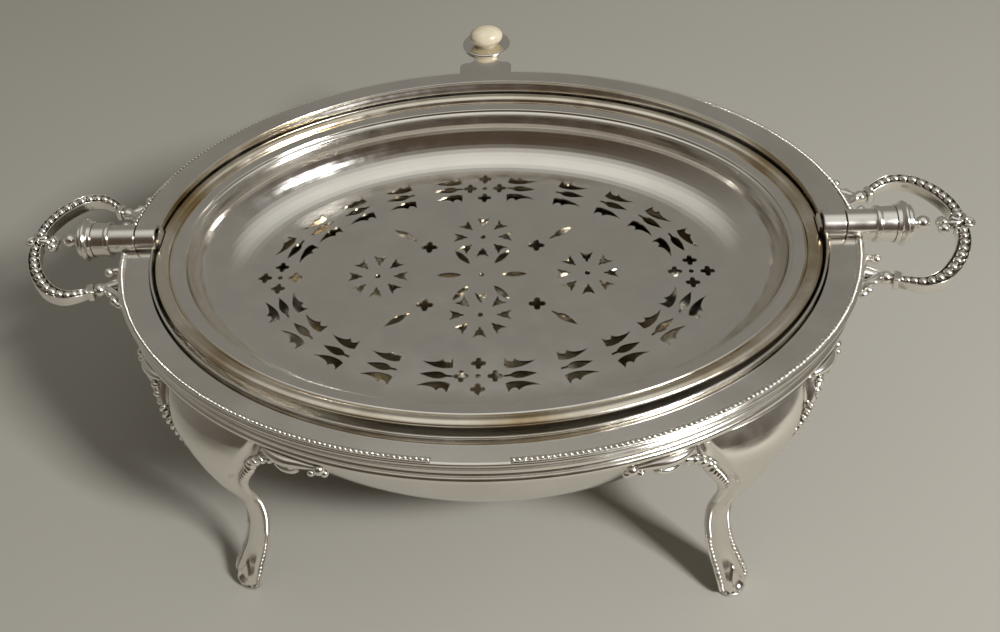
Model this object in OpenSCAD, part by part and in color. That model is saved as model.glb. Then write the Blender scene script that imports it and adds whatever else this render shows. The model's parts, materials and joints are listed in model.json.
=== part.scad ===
// Oval revolving breakfast dish in silver plate, shown with its cover rolled open under the dishes.
// Lengths are in millimetres. X runs along the hinge from handle to handle, the front is at -Y,
// Z is up and the dish stands on Z = 0.

/* [Body] */
// Length over the beaded rim, without the handles
rim_len = 299.2; // [296:0.4:304]
// Width over the beaded rim
rim_wid = 232.2; // [228:0.4:236]
// Room between the table and the bottom of the bowl
under_bowl = 5.2; // [4:0.2:8]
// Depth of the moulding below the rim
moulding_h = 12; // [10:0.5:14]
// Thickness of the bowl's sheet
bowl_wall = 0.9; // [0.7:0.1:1.2]
// Width of the bead wire round the rim
bead_w = 2.3; // [1.9:0.1:2.5]

/* [Cover] */
// Thickness of the cover's sheet
cover_wall = 0.8; // [0.6:0.1:1.1]
// Thickness of the border plate along the rear edge of the cover
border_t = 1.6; // [1.2:0.1:2]
// Running gap between the cover and the bowl
cover_gap = 0.8; // [0.6:0.1:1]
// Length of the oval ivory knob
knob_len = 16; // [13:0.5:18]
// Height of the ivory knob
knob_h = 9; // [7:0.5:11]

/* [Pivots] */
// Diameter of the pivot pins
pin_d = 5; // [4:0.2:6]
// Diameter of the cover's knuckles
knuckle_d = 11.6; // [10.6:0.2:12]
// Running clearance of a pin in its knuckle, measured on the radius
pin_fit = 0.08; // [0.04:0.01:0.1]

/* [Inner dishes] */
// Depth of the hot water liner below its rim
liner_depth = 38; // [32:1:44]
// Depth of the pierced drainer below its rim
drain_depth = 20; // [17:0.5:22]
// Thickness of the sheet of both dishes
dish_wall = 0.8; // [0.6:0.1:1]

/* [Legs and handles] */
// Width of a leg at the waist
leg_w = 10; // [9:0.5:12]
// Reach of a handle beyond the rim
handle_reach = 40; // [37:1:44]

/* [Hidden] */

silver = [0.8, 0.8, 0.78];
dark_silver = [0.62, 0.62, 0.62];
ivory = [0.93, 0.89, 0.78];

// Half length and half width of the rim, of the opening in the flange, of the cover and the bowl
rim_a = rim_len / 2;
rim_b = rim_wid / 2;
open_a = rim_a - 13.3;
open_b = rim_b - 9.1;
cover_a = open_a - 0.7;
cover_b = open_b - 0.9;
bowl_in_a = cover_a + cover_gap;
bowl_in_b = cover_b + cover_gap;
bowl_a = bowl_in_a + bowl_wall;
bowl_b = bowl_in_b + bowl_wall;
axis_h = bowl_b + under_bowl;

// Heights from the hinge axis
border_gap = 0.5;
flange_t = 1.2;
flange_z = -border_t / 2 - border_gap;
under_z = flange_z - flange_t;
low_z = under_z - moulding_h;
foot_z = -axis_h;

// Border plate of the cover, and its tab
border_a = rim_a - 4.3;
border_b = rim_b - 3.7;
border_end = knuckle_d / 2 + 0.7;
plate_d = 23;
plate_y = border_b + 25;
tab_foot_w = 24.4;
tab_neck_w = 11;
rear_reach = plate_y + plate_d / 2;

// The hinge axis lies a little in front, so that the whole dish is centred on Y = 0
axis_y = -(rear_reach - rim_b) / 2;

// Notches in the bead wire for the foot of the tab, at the front and the rear
notch_w = tab_foot_w + 2.6;

// Places along the hinge, from the middle outwards
knuckle_in = cover_a - cover_wall - 0.6;
knuckle_out = open_a + 6.2;
barrel_in = knuckle_out + 0.4;
barrel_r = knuckle_d / 2 + 0.2;
barrel_step = barrel_in + 11;
barrel_out = barrel_step + 7.4;
bracket_out = knuckle_in - 0.4;
bracket_t = 1.1;

// Rims of the two dishes
liner_a = cover_a - cover_wall - 0.5;
liner_b = rim_b - 17.8;
drain_a = liner_a - 6.4;
drain_b = liner_b - 6.1;
floor_a = drain_a - 30.1;
floor_b = drain_b - 26;
liner_z = -3;
drain_z = liner_z - 1.7;

// Legs stand at this parameter angle of the rim, their feet a little inside it
leg_t = 46.5;
foot_x = rim_a * 0.68;
foot_y = rim_b * 0.822;
leg_turn = 56;

$fn = 72;

module at_axis() { translate([0, axis_y, axis_h]) children(); }

// One side is drawn at +X and mirrored to -X
module side(s) { if (s > 0) children(); else mirror([1, 0, 0]) children(); }

module oval(a, b) { scale([a / b, 1]) circle(b, $fn = 120); }

module oval_turn(a, b) {
    scale([a / b, 1, 1]) rotate_extrude($fn = 120) children();
}

// Solid of revolution about the hinge axis with an elliptic outline
module egg(a, b, fn = 64) { scale([a / b, 1, 1]) sphere(b, $fn = fn); }

module x_rod(r, x0, x1) { translate([x0, 0, 0]) rotate([0, 90, 0]) cylinder(r = r, h = x1 - x0); }

// Points of an arc, used inside outlines
function arc(cx, cy, r, from, to, n) =
    [for (i = [0:n]) let (q = from + (to - from) * i / n) [cx + r * cos(q), cy + r * sin(q)]];

// Closed oval skin: each entry of the loop is [half length, half width, height]
module oval_skin(loop, n = 48) {
    m = len(loop);
    points = [for (p = loop, j = [0:n - 1]) let (q = 360 * j / n) [p[0] * cos(q), p[1] * sin(q), p[2]]];
    faces = [for (i = [0:m - 1], j = [0:n - 1], k = [0, 1])
        let (i2 = (i + 1) % m, j2 = (j + 1) % n)
        k == 0 ? [i * n + j, i2 * n + j, i2 * n + j2] : [i * n + j, i2 * n + j2, i * n + j2]];
    polyhedron(points, faces);
}

// Level plate that fills the inner edge of an oval skin
module oval_floor(a, b, z0, t, n = 48) {
    translate([0, 0, z0]) linear_extrude(t) difference() {
        polygon([for (j = [0:n - 1]) [a * cos(360 * j / n), b * sin(360 * j / n)]]);
        children();
    }
}

// Body

module bowl() {
    color(silver) at_axis() difference() {
        egg(bowl_a, bowl_b);
        egg(bowl_in_a, bowl_in_b);
        translate([-rim_a, -rim_b, under_z]) cube([rim_len, rim_wid, rim_wid]);
        pivot_room();
    }
}

// Room for the turning knuckles and seat of the fixed barrels, cut through the body
module pivot_room() {
    for (s = [-1, 1]) side(s) {
        x_rod(knuckle_d / 2 + 0.5, open_a - 4, barrel_in);
        x_rod(barrel_r, barrel_in, rim_a + 6);
    }
}

module rim_flange() {
    color(silver) at_axis() difference() {
        translate([0, 0, under_z]) linear_extrude(flange_t) difference() {
            oval(rim_a, rim_b);
            oval(open_a, open_b);
        }
        pivot_room();
    }
}

// Section of the moulding: fillet under the rim, deep hollow, quirk and half-round foot.
// inner is where its inner side lies
function moulding_outline(inner) = concat(
    [[inner, under_z], [rim_b - 0.5, under_z], [rim_b - 0.2, under_z - 0.5],
        [rim_b - 0.4, under_z - 1.1], [rim_b - 1, under_z - 1.3]],
    arc(rim_b + 3.2, under_z - 4.5, 5.3, 143, 208, 6),
    [[rim_b - 1.2, low_z + 4.4], [rim_b - 1.5, low_z + 3.1]],
    arc(rim_b - 1.7, low_z + 1.3, 1.3, 70, -90, 7),
    [[inner, low_z]]);

module rim_moulding() {
    color(silver) at_axis() difference() {
        oval_turn(rim_a, rim_b) polygon(moulding_outline(rim_b - 4.6));
        pivot_room();
    }
}

// Half-round wire soldered along the rim, open at the front and rear notches and at the barrels
module bead_border() {
    wire_b = rim_b - 0.45 - bead_w / 2;
    color(silver) at_axis() difference() {
        oval_turn(rim_a, rim_b) difference() {
            translate([wire_b, flange_z + 0.25]) circle(d = bead_w, $fn = 24);
            translate([0, flange_z - 5]) square([rim_b + 5, 5]);
        }
        translate([-notch_w / 2, -rim_b - 5, -10]) cube([notch_w, rim_wid + 10, 20]);
        translate([-rim_a - 5, -barrel_r - 0.6, -10]) cube([rim_len + 10, 2 * barrel_r + 1.2, 20]);
    }
}

// Legs

// Height of a leg up to the moulding, and the scale of its drawn heights and widths
leg_h = axis_h + low_z;
tall = leg_h / 98.5;
wide = leg_w / 10;

// Level sections from the table up: height, outer side measured outwards from the foot, half width
// and crown of the outer face, how far the roped edge stands beyond and behind the face's edge,
// radius of that rope, depth of the back behind it, sideways
leg_sections = [
    [0, 1, 2.6, 0.8, 0.9, 2.2, 1, 0.4, 1],
    [1.5, 2.2, 3.4, 1, 1.1, 2.2, 1.2, 0.4, 1],
    [4, 2.4, 4.2, 1.2, 1.4, 2, 1.3, 0.4, 1],
    [8, 0.6, 4.3, 1.2, 1.5, 2.2, 1.3, 0.4, 1.1],
    [13, -3, 3.9, 1.3, 1.4, 2.4, 1.3, 0.4, 1.3],
    [21, -8.8, 3.4, 1.4, 1.3, 2.6, 1.3, 0.4, 1.6],
    [33, -13, 3.2, 1.4, 1.5, 2.6, 1.35, 0.4, 1.8],
    [45, -13, 3.3, 1.5, 1.9, 2.8, 1.4, 0.4, 1.6],
    [54, -10.4, 3.5, 1.6, 2.6, 3.4, 1.5, 0.4, 0.8],
    [61, -7.4, 3.8, 1.8, 3.8, 4, 1.6, 0.6, 0],
    [67, -5, 4.8, 2.2, 5, 4.6, 1.8, 1.2, -1],
    [73, -3.4, 7.6, 3.2, 5.4, 5, 2, 3, -2.8],
    [80, -2.4, 12, 4.6, 6.6, 5, 2.1, 7, -4.6],
    [87, -3, 16.4, 5.6, 7.6, 3.6, 2, 11, -5.8],
    [93, -5.4, 20, 5.4, 7, 2.6, 1.6, 12, -5.8],
    [98.5, -9, 23, 4.6, 4, 2.2, 1.2, 12, -5.4]];

// One section as points: round face, hollow side, rope, flat back, and the same on the other side
function leg_ring(p) = let (out = p[1] * tall, half = p[2] * wide, crown = p[3] * wide,
        rope_w = half + p[4] * wide, rope_s = out - crown - p[5] * wide, r = p[6] * wide,
        hollow = [out - crown - 0.6 * p[5] * wide, half + 0.3 * p[4] * wide],
        one = concat([hollow], [for (q = [100:-50:-100]) [rope_s + r * sin(q), rope_w + r * cos(q)]],
            [[rope_s - p[7] * wide, 0.55 * rope_w]]),
        m = len(one))
    [for (v = concat([for (f = [-1:0.25:1]) [out - crown * f * f, half * f]], one,
        [for (i = [m - 1:-1:0]) [one[i][0], -one[i][1]]])) [v[0], v[1] + p[8] * wide, p[0] * tall]];

module leg_body() {
    points = [for (p = leg_sections, v = leg_ring(p)) v];
    m = len(leg_sections);
    n = len(points) / m;
    sides = [for (i = [0:m - 2], j = [0:n - 1], k = [0, 1])
        let (j2 = (j + 1) % n)
        k == 0 ? [i * n + j, (i + 1) * n + j, (i + 1) * n + j2] : [i * n + j, (i + 1) * n + j2, i * n + j2]];
    ends = [[for (j = [0:n - 1]) j], [for (j = [n - 1:-1:0]) (m - 1) * n + j]];
    polyhedron(points, concat(sides, ends));
}

// Tube swept through points given as [x, y, z, half width, half height]
module sweep(path, n = 12) {
    m = len(path);
    function unit(v) = v / norm(v);
    function xyz(p) = [p[0], p[1], p[2]];
    function heading(i) = unit(xyz(path[min(i + 1, m - 1)]) - xyz(path[max(i - 1, 0)]));
    points = [for (i = [0:m - 1], j = [0:n - 1])
        let (t = heading(i), across = unit(cross(t, [0, 0, 1])), up = cross(across, t), q = 360 * (j + 0.5) / n)
        xyz(path[i]) + across * path[i][3] * cos(q) + up * path[i][4] * sin(q)];
    sides = [for (i = [0:m - 2], j = [0:n - 1], k = [0, 1])
        let (j2 = (j + 1) % n)
        k == 0 ? [i * n + j, (i + 1) * n + j2, (i + 1) * n + j] : [i * n + j, i * n + j2, (i + 1) * n + j2]];
    ends = [[for (j = [n - 1:-1:0]) j], [for (j = [0:n - 1]) (m - 1) * n + j]];
    polyhedron(points, concat(sides, ends));
}

// Point under the rim: turn from the leg's middle, share of the rim's size, drop below the moulding
function under_rim(turn, e, drop) =
    [rim_a * e * cos(leg_t + turn), rim_b * e * sin(leg_t + turn), low_z - drop * tall];

// Roped scroll that curls from the leg's edge, and the lobe over it with its end knob.
// Steps are [turn, share of the rim, drop, radius]
rope_curl = [[8.6, 0.97, 17, 2], [11, 0.984, 10, 2.1], [13, 0.987, 6, 2.1], [14.8, 0.988, 4.6, 2],
    [16.4, 0.986, 5.6, 1.9], [17.3, 0.98, 8.6, 1.9]];
lobe = [[9, 0.98, 2, 1.6], [12, 0.983, 2.3, 2.1], [15, 0.983, 2.5, 2.3], [18, 0.981, 2.4, 2.1],
    [20.4, 0.978, 2.6, 1.6], [21.8, 0.976, 2.8, 1.4]];

module branch(s) {
    for (steps = [rope_curl, lobe]) {
        sweep([for (p = steps) concat(under_rim(s * p[0], p[1], p[2]), [p[3] * wide, p[3] * wide])], 8);
        tip = steps[len(steps) - 1];
        translate(under_rim(s * tip[0], tip[1], tip[2])) sphere(2.5 * wide, $fn = 24);
    }
}

// Legs are drawn at the rear right corner and mirrored to the others
module leg(sx, sy) {
    color(silver) at_axis() side(sx) mirror([0, sy > 0 ? 0 : 1, 0]) difference() {
        union() {
            translate([foot_x, foot_y, foot_z]) rotate(leg_turn) leg_body();
            for (s = [-1, 1]) branch(s);
        }
        egg(bowl_a, bowl_b);
    }
}

module leg_front_left() { leg(-1, -1); }
module leg_front_right() { leg(1, -1); }
module leg_rear_left() { leg(-1, 1); }
module leg_rear_right() { leg(1, 1); }

// Handles

// Smooth curve through points, with a number of steps between two of them
function blend(a, b, c, d, t) =
    0.5 * (2 * b + (c - a) * t + (2 * a - 5 * b + 4 * c - d) * t * t + (3 * b - a - 3 * c + d) * t * t * t);
function smooth(p, n) = let (m = len(p)) concat(
    [for (i = [0:m - 2], k = [0:n - 1])
        blend(p[max(i - 1, 0)], p[i], p[i + 1], p[min(i + 2, m - 1)], k / n)],
    [p[m - 1]]);

// Sockets of a handle, and the scale of its drawn parts
socket_x = rim_a + 7.5;
socket_y = rim_b * 0.211;
socket_z = -6.5;
socket_turn = 20;
arm_k = handle_reach / 40;

// One arm of a handle from its socket to the scroll at the outer end
arm = [[socket_x + 1.2, socket_y + 0.5, socket_z, 1.7, 2],
    each [for (p = [[13.4, 3.4, -5.4, 2, 2.6], [20, 5, -4, 2.3, 3.1], [27.6, 2.6, -2.6, 2.5, 3.3],
        [34.2, -4.6, -1.4, 2.5, 3.4], [38.2, -13.2, -0.8, 2.5, 3.5], [39.4, -20, -0.4, 2.4, 3.4],
        [38.8, -25.6, -0.4, 2.4, 3.2]])
        [rim_a + p[0] * arm_k, socket_y + p[1] * arm_k, p[2], p[3] * arm_k, p[4] * arm_k]]];

// Knobs of the double scroll at the outer end: reach, to the side, height, diameter
scroll_knobs = [[41.4, 3.8, 0.8, 6.4], [43.6, 0, 0, 5.2], [33.4, 0, -1.6, 5.4]];

module handle(s) {
    color(silver) at_axis() side(s) {
        for (f = [0, 1]) mirror([0, f, 0]) {
            sweep(smooth(arm, 4), 12);
            translate([socket_x, socket_y, socket_z]) rotate([0, 90, socket_turn]) cylinder(d = 5.6, h = 2, $fn = 24);
            for (p = scroll_knobs)
                translate([rim_a + p[0] * arm_k, p[1] * arm_k, p[2]]) sphere(d = p[3] * arm_k, $fn = 32);
        }
        translate([0, 0, -1.4]) x_rod(1.9, rim_a + scroll_knobs[2][0] * arm_k, rim_a + scroll_knobs[0][0] * arm_k);
    }
}

module handle_left() { handle(-1); }
module handle_right() { handle(1); }

// Solid inside of the moulding, to seat what is soldered against its outer side
module rim_core() {
    oval_turn(rim_a, rim_b) polygon(moulding_outline(0));
}

// Sockets with three small scrolls, soldered to the moulding beside the pivots
module handle_brackets(s) {
    color(silver) at_axis() side(s) for (f = [0, 1]) mirror([0, f, 0]) difference() {
        union() {
            translate([socket_x, socket_y, socket_z]) rotate([0, -90, socket_turn])
                cylinder(d1 = 5, d2 = 6.4, h = 13, $fn = 24);
            translate([rim_a - 3.5, socket_y - 3, socket_z - 0.5]) rotate([0, 90, 12])
                scale([1, 1.9, 1]) cylinder(d = 7.6, h = 4, $fn = 24);
            translate([rim_a + 1.2, socket_y - 8.5, socket_z]) sphere(d = 6, $fn = 24);
            translate([rim_a - 1.6, socket_y + 8, socket_z - 1]) sphere(d = 6.4, $fn = 24);
        }
        rim_core();
        translate([0, 0, under_z]) linear_extrude(20) oval(rim_a + 0.1, rim_b + 0.1);
    }
}

module handle_brackets_left() { handle_brackets(-1); }
module handle_brackets_right() { handle_brackets(1); }

// Pivots

module pivot_barrel(s) {
    color(silver) at_axis() side(s) difference() {
        union() {
            x_rod(barrel_r, barrel_in, barrel_step);
            x_rod(barrel_r + 1.2, barrel_step, barrel_step + 1.8);
            x_rod(barrel_r + 1, barrel_step + 1.8, barrel_out);
        }
        x_rod(pin_d / 2, barrel_in - 1, barrel_out + 1);
    }
}

module pivot_barrel_left() { pivot_barrel(-1); }
module pivot_barrel_right() { pivot_barrel(1); }

// Turned pin with a stepped head and a ball finial, drawn from the middle outwards
module pivot_pin(s) {
    head = barrel_out;
    outline = concat(
        [[0, bracket_out - bracket_t], [pin_d / 2, bracket_out - bracket_t], [pin_d / 2, head],
            [7.7, head], [7.8, head + 1.8], [8.4, head + 2.1]],
        arc(8.1, head + 3.5, 0.9, -40, 90, 5),
        [[7.5, head + 4.7], [7.5, head + 5.6]],
        arc(6.2, head + 5.8, 1.3, 0, 90, 4),
        [[3.6, head + 8], [1.7, head + 8.7], [1.5, head + 10.6]],
        arc(0, head + 13.2, 3, -60, 90, 12));
    color(dark_silver) at_axis() side(s) rotate([0, 90, 0]) rotate_extrude() polygon(outline);
}

module pivot_pin_left() { pivot_pin(-1); }
module pivot_pin_right() { pivot_pin(1); }

// Plate on the inner end of a pin, with the ledge that carries the liner
ledge_z = liner_z - 1.2 - dish_wall;

module liner_bracket(s) {
    color(dark_silver) at_axis() side(s) difference() {
        union() {
            translate([bracket_out - bracket_t, -4, ledge_z - 1]) cube([bracket_t, 8, 3.6 - ledge_z]);
            translate([liner_a - 4.5, -4, ledge_z - 1]) cube([bracket_out - liner_a + 4.5, 8, 1]);
        }
        x_rod(pin_d / 2, bracket_out - bracket_t - 1, bracket_out + 1);
    }
}

module liner_bracket_left() { liner_bracket(-1); }
module liner_bracket_right() { liner_bracket(1); }

// Inner dishes

// Half width of the notches in the liner's rim
notch_b = knuckle_d / 2 + 0.6;

module liner_dish() {
    t = dish_wall;
    a = liner_a;
    b = liner_b;
    z = liner_z;
    low = liner_z - liner_depth;
    seat = drain_z - t;
    loop = concat(
        // upper side from the lip inwards and down to the floor
        [[a, b, z - 1.4], [a - 0.3, b - 0.3, z - 0.5], [a - 1.2, b - 1.2, z], [a - 2.4, b - 2.2, z - 0.3],
            [a - 3.4, b - 3, z - 0.9], [a - 6, b - 5.7, z - 1.2], [a - 6.2, b - 5.9, seat],
            [a - 10, b - 10, seat - 0.2]],
        [for (q = [18:18:90]) [a - 10 - 26 * (1 - cos(q)), b - 10 - 26 * (1 - cos(q)), seat + (low + t - seat) * sin(q)]],
        // under side back up to the lip
        [[a - 36, b - 36, low]],
        [for (q = [72:-18:18]) [a - 10 + t - 26 * (1 - cos(q)), b - 10 + t - 26 * (1 - cos(q)), seat - t + (low - seat + t) * sin(q)]],
        [[a - 9.2, b - 9.2, seat - t], [a - 6.2 + t, b - 5.9 + t, seat - t], [a - 6 + t, b - 5.7 + t, ledge_z],
            [a - 0.6, b - 0.6, ledge_z]]);
    color(silver) at_axis() difference() {
        union() {
            oval_skin(loop);
            oval_floor(a - 36, b - 36, low, t);
        }
        // room in the rim for the knuckles and the plates of the brackets
        for (s = [-1, 1]) side(s) translate([bracket_out - bracket_t - 0.3, -notch_b, ledge_z - 0.5])
            cube([5, 2 * notch_b, 5]);
    }
}

// Cuts of the pierced floor

module leaf(l, w) {
    // pointed oval from the origin along +X
    r = (l * l / 4 + w * w / 4) / w;
    intersection() {
        translate([l / 2, r - w / 2]) circle(r, $fn = 96);
        translate([l / 2, w / 2 - r]) circle(r, $fn = 96);
    }
}

module quatrefoil(r) {
    for (q = [0:90:270]) rotate(q) {
        translate([r * 0.62, 0]) circle(r * 0.36, $fn = 20);
        translate([0, -r * 0.2]) square([r * 0.7, r * 0.4]);
    }
}

// Three-lobed cut of a rosette, pointing outwards along +X
module fleur(l) {
    translate([0, -l * 0.07]) square([l * 0.62, l * 0.14]);
    translate([l * 0.08, 0]) leaf(l, l * 0.36);
    for (s = [-1, 1]) translate([l * 0.2, 0]) rotate(s * 38) leaf(l * 0.72, l * 0.24);
}

module rosette(r) {
    circle(r * 0.09, $fn = 16);
    for (q = [0:45:315]) rotate(q) translate([r * 0.36, 0]) fleur(r * 0.62);
}

// Border leaf with a notched root, along +X
module notched_leaf(l, w) {
    difference() {
        leaf(l, w);
        translate([l * 0.1, w * 0.62]) circle(w * 0.55, $fn = 28);
    }
}

// Border leaf with a stalk, along +X
module stalked_leaf(l, w) {
    leaf(l * 0.72, w);
    translate([l * 0.64, -w * 0.09]) square([l * 0.36, w * 0.18]);
}

module cross_cluster(r) {
    circle(r * 0.16, $fn = 16);
    for (q = [0:90:270]) rotate(q) translate([r, 0]) quatrefoil(r * 0.46);
}

// Sizes of the pattern, on the flat floor
band_a = floor_a - 11.5;
band_b = floor_b - 9.8;

module drain_pattern() {
    circle(1, $fn = 16);
    for (s = [-1, 1]) {
        translate([s * 44, 0]) rosette(12.8);
        translate([0, s * 23.6]) rosette(12.8);
        translate([s * band_a, 0]) cross_cluster(6.6);
        translate([0, s * band_b]) cross_cluster(6.6);
        for (q = [-52, 0, 52]) rotate(s > 0 ? q : 180 + q) translate([8.5, 0]) leaf(10.5, 3);
        for (v = [-1, 1]) {
            translate([s * 23, v * 17.6]) quatrefoil(3.6);
            translate([s * 34, v * 25.8]) rotate(s * v > 0 ? 37 : -37) translate([-6, 0]) leaf(12, 3.2);
        }
    }
    // five groups of three leaves in each quarter, with their tips towards the handles
    for (sx = [0, 1], sy = [0, 1]) mirror([sx, 0]) mirror([0, sy]) for (k = [0:4]) {
        q = 79 - k * 15.2;
        turn = atan2(-band_b * cos(q), band_a * sin(q));
        translate([band_a * cos(q), band_b * sin(q)]) rotate(turn) {
            translate([7, 0]) rotate(180) stalked_leaf(14, 4.2);
            translate([-6.5, 5.2]) rotate(6) notched_leaf(13.5, 4.6);
            translate([-6.5, -5.2]) mirror([0, 1]) rotate(6) notched_leaf(12.5, 4.2);
        }
    }
}

module pierced_drainer() {
    t = dish_wall;
    a = drain_a;
    b = drain_b;
    z = drain_z;
    low = drain_z - drain_depth;
    drop = low + t - z + 2.2;
    wall_a = drain_a - 5.9 - floor_a;
    wall_b = drain_b - 6.9 - floor_b;
    loop = concat(
        [[a, b, z - 0.3], [a - 0.5, b - 0.5, z], [a - 4.4, b - 4.9, z - 0.3], [a - 4.7, b - 5.3, z - 1.2],
            [a - 5.3, b - 6, z - 1.4], [a - 5.9, b - 6.9, z - 2.2]],
        [for (q = [18:18:90]) let (f = 1 - pow(cos(q), 0.9))
            [a - 5.9 - wall_a * f, b - 6.9 - wall_b * f, z - 2.2 + drop * sin(q)]],
        [[floor_a, floor_b, low]],
        [for (q = [72:-18:18]) let (f = 1 - pow(cos(q), 0.9))
            [a - 5.9 + t - wall_a * f, b - 6.9 + t - wall_b * f, z - 2.2 - t + drop * sin(q)]],
        [[a - 5, b - 5.8, z - t - 0.9], [a - 3.4, b - 3.4, z - t], [a - 0.2, b - 0.2, z - t]]);
    color(silver) at_axis() {
        oval_skin(loop);
        oval_floor(floor_a, floor_b, low, t) drain_pattern();
    }
}

// Cover

module cover_shell() {
    color(silver) at_axis() difference() {
        egg(cover_a, cover_b);
        egg(cover_a - cover_wall, cover_b - cover_wall);
        translate([-rim_a, -rim_b, border_t / 2]) cube([rim_len, rim_wid, rim_wid]);
        for (s = [-1, 1]) side(s) x_rod(knuckle_d / 2, knuckle_in - 4, cover_a + 4);
    }
}

// Flat border round the rear half of the cover, from knuckle to knuckle
module cover_border() {
    color(silver) at_axis() difference() {
        translate([0, 0, -border_t / 2]) linear_extrude(border_t) difference() {
            oval(border_a, border_b);
            translate([-rim_a, -rim_b]) square([rim_len, rim_b]);
            for (s = [-1, 1]) side(s) translate([knuckle_out - 0.6, -1]) square([20, border_end + 1]);
        }
        egg(cover_a, cover_b, 200);
        for (s = [-1, 1]) side(s) x_rod(knuckle_d / 2, knuckle_in - 4, cover_a + 20);
    }
}

module knuckle(s) {
    color(silver) at_axis() side(s) difference() {
        x_rod(knuckle_d / 2, knuckle_in, knuckle_out);
        x_rod(pin_d / 2 + pin_fit, knuckle_in - 1, knuckle_out + 1);
        x_rod(knuckle_d / 2 - 1.2, knuckle_in - 1, knuckle_in + 3.4);
    }
}

module knuckle_left() { knuckle(-1); }
module knuckle_right() { knuckle(1); }

tab_t = 1.6;

// Right half of the tab's foot and neck: a shoulder, then a hollow up to the neck
half_tab = concat([[tab_foot_w / 2, border_b - 4]],
    arc(tab_foot_w / 2 - 3, border_b + 5, 3, 0, 90, 4),
    arc(tab_neck_w / 2 + 3.7, border_b + 11.7, 3.7, 250, 180, 4),
    [[tab_neck_w / 2, plate_y - 4]]);

module tab_plate() {
    color(silver) at_axis() difference() {
        union() {
            translate([0, 0, -tab_t / 2]) linear_extrude(tab_t)
                polygon(concat(half_tab, [for (i = [len(half_tab) - 1:-1:0]) [-half_tab[i][0], half_tab[i][1]]]));
            // round plate, dished inside its raised edge
            translate([0, plate_y, 0]) rotate_extrude() polygon([[0, -tab_t / 2], [plate_d / 2 - 0.4, -tab_t / 2],
                [plate_d / 2, 0], [plate_d / 2, tab_t / 2 + 0.3], [plate_d / 2 - 0.5, tab_t / 2 + 0.7],
                [plate_d / 2 - 1.2, tab_t / 2 + 0.6], [plate_d / 2 - 2.2, tab_t / 2], [0, tab_t / 2]]);
        }
        translate([0, 0, -tab_t]) linear_extrude(2 * tab_t) oval(border_a, border_b);
        translate([0, plate_y, -5]) cylinder(d = 3, h = 10);
    }
}

// Oval button, flat below, on a short turned neck
module ivory_knob() {
    color(ivory) at_axis() translate([0, plate_y, tab_t / 2]) difference() {
        union() {
            translate([0, 0, knob_h * 0.5]) scale([1, 0.84, knob_h / knob_len]) sphere(d = knob_len, $fn = 80);
            cylinder(d1 = knob_len * 0.6, d2 = knob_len * 0.5, h = knob_h * 0.3);
        }
        translate([0, 0, -1]) cylinder(d = 3, h = knob_h * 0.7 + 1);
        translate([0, 0, -5]) cube([40, 40, 10], center = true);
    }
}

module knob_rivet() {
    color(dark_silver) at_axis() translate([0, plate_y, 0]) {
        translate([0, 0, -tab_t / 2]) cylinder(d = 3, h = tab_t + knob_h * 0.7);
        translate([0, 0, -tab_t / 2 - 1.4]) cylinder(d1 = 4.4, d2 = 6, h = 1.4);
    }
}

bowl();
rim_flange();
rim_moulding();
bead_border();
leg_front_left();
leg_front_right();
leg_rear_left();
leg_rear_right();
handle_left();
handle_right();
handle_brackets_left();
handle_brackets_right();
pivot_barrel_left();
pivot_barrel_right();
pivot_pin_left();
pivot_pin_right();
liner_bracket_left();
liner_bracket_right();
liner_dish();
pierced_drainer();
cover_shell();
cover_border();
knuckle_left();
knuckle_right();
tab_plate();
ivory_knob();
knob_rivet();
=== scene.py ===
"""Looks of an oval revolving breakfast dish in silver plate, with an ivory knob.

Shapes are worked out in millimetres from the hinge axis (X along the hinge, front at -Y, Z up)
and are moved to the frame's metres when a mesh is made.
"""
import json
import math

import bpy
import numpy as np
from mathutils import Matrix, Vector
from mathutils.geometry import delaunay_2d_cdt


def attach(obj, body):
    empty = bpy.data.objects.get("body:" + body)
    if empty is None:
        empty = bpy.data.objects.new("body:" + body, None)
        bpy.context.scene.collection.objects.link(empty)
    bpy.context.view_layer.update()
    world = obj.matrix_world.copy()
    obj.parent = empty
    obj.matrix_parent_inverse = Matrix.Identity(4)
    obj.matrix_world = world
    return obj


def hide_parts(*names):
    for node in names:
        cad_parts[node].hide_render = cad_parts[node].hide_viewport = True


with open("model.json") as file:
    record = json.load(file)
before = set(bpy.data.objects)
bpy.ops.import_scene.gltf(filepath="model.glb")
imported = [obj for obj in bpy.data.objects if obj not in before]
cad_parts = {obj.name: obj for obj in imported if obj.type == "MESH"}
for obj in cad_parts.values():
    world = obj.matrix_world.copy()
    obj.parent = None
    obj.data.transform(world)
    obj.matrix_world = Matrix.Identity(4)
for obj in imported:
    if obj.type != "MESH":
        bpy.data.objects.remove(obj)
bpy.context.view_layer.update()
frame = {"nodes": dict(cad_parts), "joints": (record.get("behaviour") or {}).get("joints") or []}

MM = 0.001
AXIS = np.array(frame["joints"][0]["pos_m"]) / MM

# Driving sizes of the frame's model, in millimetres
rim_a, rim_b = 149.6, 116.1  # half length and half width over the flange
cover_wall, bowl_wall = 0.8, 0.9
border_t = 1.6  # thickness of the cover's border and tab
border_end = 6.5  # where the border stops, from the hinge line
knuckle_r, pin_r = 5.8, 2.5
knob_len, knob_h = 16.0, 9.0
liner_depth, drain_depth = 38.0, 20.0
sheet_t = 0.8  # thickness of the liner and the drainer
moulding_h = 12.0
bead_w, bead_r, bead_pitch = 2.3, 0.95, 1.93
handle_reach = 36.6  # from the rim to the outer end
rosette_r = 12.8

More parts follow.
